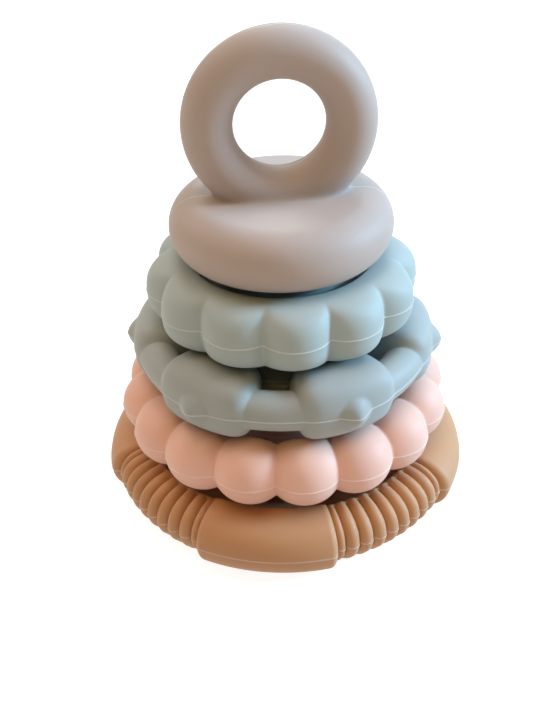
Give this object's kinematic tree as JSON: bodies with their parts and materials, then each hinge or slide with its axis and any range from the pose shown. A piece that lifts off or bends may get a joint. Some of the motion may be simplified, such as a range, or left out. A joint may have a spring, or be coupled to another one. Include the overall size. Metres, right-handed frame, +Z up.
{
  "type": "stacking ring toy",
  "caption": "Soft silicone stacking toy: ribbed square base with a hidden post, bubble, block and scalloped rings, and a disc topper with a standing ring handle.",
  "frame": {"origin": "centre of the base's flat underside, on the axis of the post", "axes": "+Z up along the post; -Y is the front, and the hole of the ring handle runs through along Y"},
  "size_m": [0.1, 0.1, 0.1289],
  "materials": {
    "base": "matte moulded silicone, caramel tan",
    "bubble_ring": "matte moulded silicone, peach pink",
    "block_ring": "matte moulded silicone, blue grey",
    "scallop_ring": "matte moulded silicone, pale sage",
    "topper": "matte moulded silicone, warm greige"
  },
  "bodies": {
    "base": {"base": "base"},
    "bubble_ring": {"bubble_ring": "bubble_ring"},
    "block_ring": {"block_ring": "block_ring"},
    "scallop_ring": {"scallop_ring": "scallop_ring"},
    "topper": {"topper": "topper"}
  },
  "joints": [
    {"name": "bubble_ring_lift", "type": "slide", "parent": "base", "child": "bubble_ring", "axis": [0, 0, 1], "range_m": [0, 0.068]},
    {"name": "block_ring_lift", "type": "slide", "parent": "bubble_ring", "child": "block_ring", "axis": [0, 0, 1], "range_m": [0, 0.048]},
    {"name": "scallop_ring_lift", "type": "slide", "parent": "block_ring", "child": "scallop_ring", "axis": [0, 0, 1], "range_m": [0, 0.031]},
    {"name": "topper_lift", "type": "slide", "parent": "scallop_ring", "child": "topper", "axis": [0, 0, 1], "range_m": [0, 0.015]}
  ]
}
